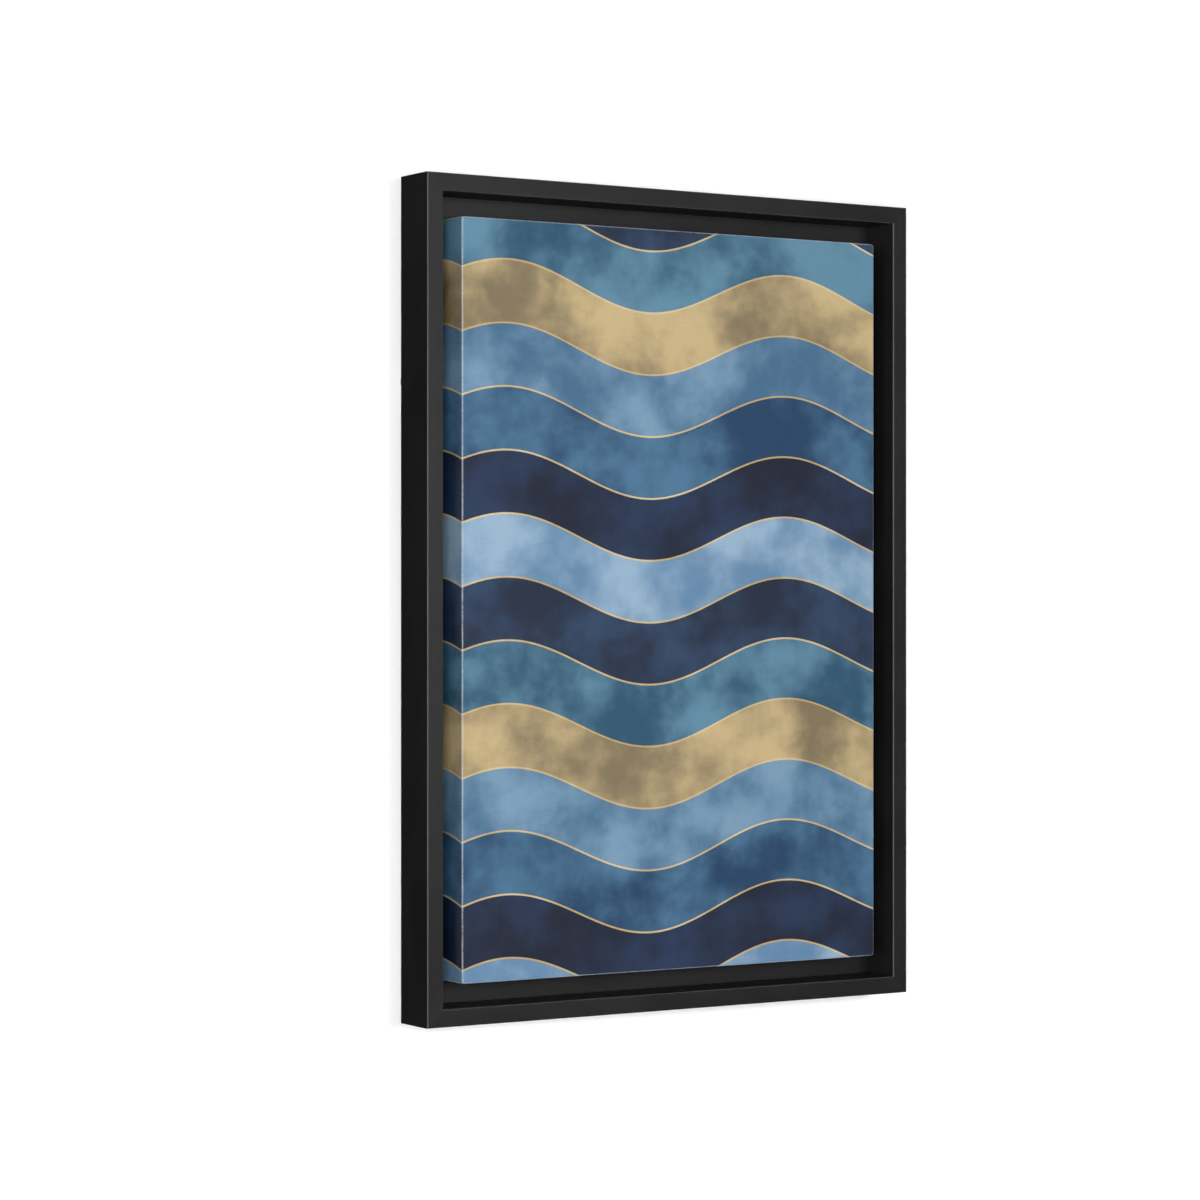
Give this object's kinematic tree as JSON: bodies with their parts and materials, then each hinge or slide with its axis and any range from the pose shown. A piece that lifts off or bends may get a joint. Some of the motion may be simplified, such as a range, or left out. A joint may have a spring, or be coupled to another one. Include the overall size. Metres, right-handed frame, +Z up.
{
  "type": "stretched canvas",
  "caption": "Printed canvas stretched over a keyed wooden stretcher and held in a deep black floater frame, with D-rings and bumpers on the back for hanging.",
  "frame": {"origin": "on the wall plane, behind the centre of the picture, where the bumpers touch the wall", "axes": "+X to the viewer's right, +Y into the wall, +Z up; the picture faces -Y"},
  "size_m": [0.354, 0.037, 0.5064],
  "materials": {
    "black_paint": "semi-matte black paint on wood",
    "nail_steel": "hardened steel",
    "pine": "planed raw pine",
    "key_wood": "sawn raw hardwood",
    "printed_cloth": "primed woven canvas with a matt print",
    "staple_steel": "galvanised",
    "yellow_zinc": "yellow zinc plate",
    "bright_steel": "bright zinc plate",
    "bumper_rubber": "soft black rubber"
  },
  "bodies": {
    "framed_canvas": {"frame_rail_top": "black_paint", "frame_rail_right": "black_paint", "frame_rail_bottom": "black_paint", "frame_rail_left": "black_paint", "frame_v_nails": "nail_steel", "stretcher_bar_top": "pine", "stretcher_bar_right": "pine", "stretcher_bar_bottom": "pine", "stretcher_bar_left": "pine", "canvas": "printed_cloth", "canvas_staples": "staple_steel", "canvas_mounting_screws": "yellow_zinc", "hanger_strap_left": "bright_steel", "hanger_strap_right": "bright_steel", "hanger_screws": "bright_steel", "bumper_left": "bumper_rubber", "bumper_right": "bumper_rubber"},
    "corner_key_top_left_vertical": {"corner_key_top_left_vertical": "key_wood"},
    "corner_key_top_left_horizontal": {"corner_key_top_left_horizontal": "key_wood"},
    "corner_key_top_right_vertical": {"corner_key_top_right_vertical": "key_wood"},
    "corner_key_top_right_horizontal": {"corner_key_top_right_horizontal": "key_wood"},
    "corner_key_bottom_left_vertical": {"corner_key_bottom_left_vertical": "key_wood"},
    "corner_key_bottom_left_horizontal": {"corner_key_bottom_left_horizontal": "key_wood"},
    "corner_key_bottom_right_vertical": {"corner_key_bottom_right_vertical": "key_wood"},
    "corner_key_bottom_right_horizontal": {"corner_key_bottom_right_horizontal": "key_wood"},
    "d_ring_left": {"d_ring_left": "bright_steel"},
    "d_ring_right": {"d_ring_right": "bright_steel"}
  },
  "joints": [
    {"name": "top_left_vertical_key_slide", "type": "slide", "parent": "framed_canvas", "child": "corner_key_top_left_vertical", "axis": [0, 0, -1], "range_m": [0, 0.03]},
    {"name": "top_left_horizontal_key_slide", "type": "slide", "parent": "framed_canvas", "child": "corner_key_top_left_horizontal", "axis": [1, 0, 0], "range_m": [0, 0.03]},
    {"name": "top_right_vertical_key_slide", "type": "slide", "parent": "framed_canvas", "child": "corner_key_top_right_vertical", "axis": [0, 0, -1], "range_m": [0, 0.03]},
    {"name": "top_right_horizontal_key_slide", "type": "slide", "parent": "framed_canvas", "child": "corner_key_top_right_horizontal", "axis": [-1, 0, 0], "range_m": [0, 0.03]},
    {"name": "bottom_left_vertical_key_slide", "type": "slide", "parent": "framed_canvas", "child": "corner_key_bottom_left_vertical", "axis": [0, 0, 1], "range_m": [0, 0.03]},
    {"name": "bottom_left_horizontal_key_slide", "type": "slide", "parent": "framed_canvas", "child": "corner_key_bottom_left_horizontal", "axis": [1, 0, 0], "range_m": [0, 0.03]},
    {"name": "bottom_right_vertical_key_slide", "type": "slide", "parent": "framed_canvas", "child": "corner_key_bottom_right_vertical", "axis": [0, 0, 1], "range_m": [0, 0.03]},
    {"name": "bottom_right_horizontal_key_slide", "type": "slide", "parent": "framed_canvas", "child": "corner_key_bottom_right_horizontal", "axis": [-1, 0, 0], "range_m": [0, 0.03]},
    {"name": "d_ring_left_hinge", "type": "hinge", "parent": "framed_canvas", "child": "d_ring_left", "pos_m": [-0.1685, -0.00214, 0.1282], "axis": [-1, 0, 0], "range_deg": [0, 178]},
    {"name": "d_ring_right_hinge", "type": "hinge", "parent": "framed_canvas", "child": "d_ring_right", "pos_m": [0.1685, -0.00214, 0.1282], "axis": [-1, 0, 0], "range_deg": [0, 178]}
  ]
}
